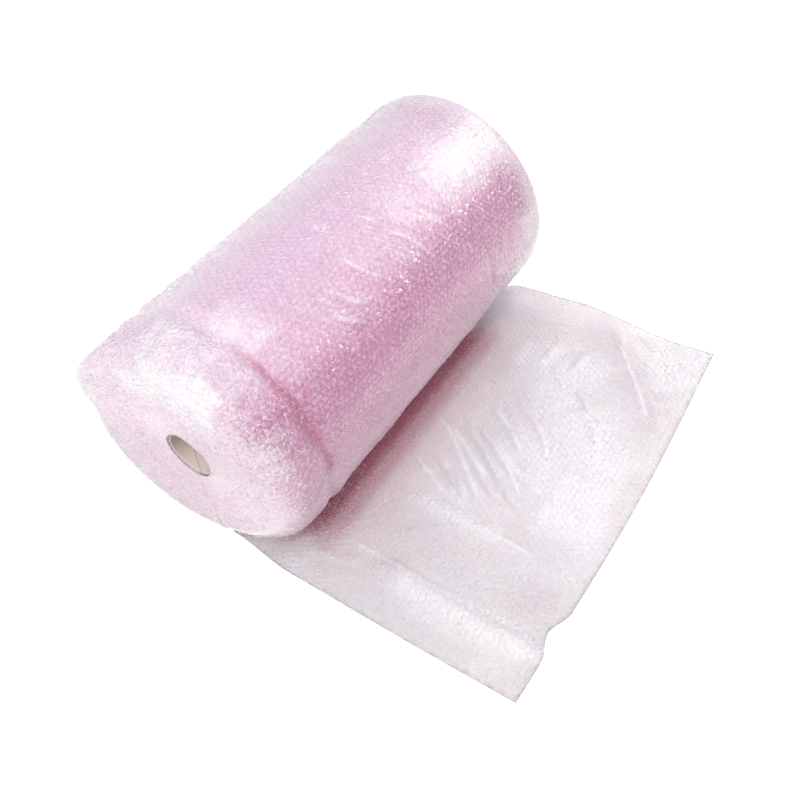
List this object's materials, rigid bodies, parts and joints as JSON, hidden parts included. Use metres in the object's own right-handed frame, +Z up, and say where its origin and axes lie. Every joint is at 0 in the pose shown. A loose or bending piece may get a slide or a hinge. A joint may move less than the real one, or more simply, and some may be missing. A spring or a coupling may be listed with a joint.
{
  "type": "bubble wrap roll",
  "caption": "Roll of pink-tinted bubble wrap wound on an open cardboard core, lying on its side with a loose tail of the web out on the floor.",
  "frame": {"origin": "middle of the core's bore, on the roll's axis", "axes": "+Y along the roll's axis from the creased near end to the far end, +X towards the cut edge of the loose tail, +Z up"},
  "size_m": [0.777, 0.75, 0.4188],
  "materials": {
    "cardboard": "matte",
    "bubble_film": "glossy film, tinted pink by its many layers"
  },
  "bodies": {
    "root": {"core_tube": "cardboard", "bubble_web": "bubble_film"}
  },
  "joints": []
}
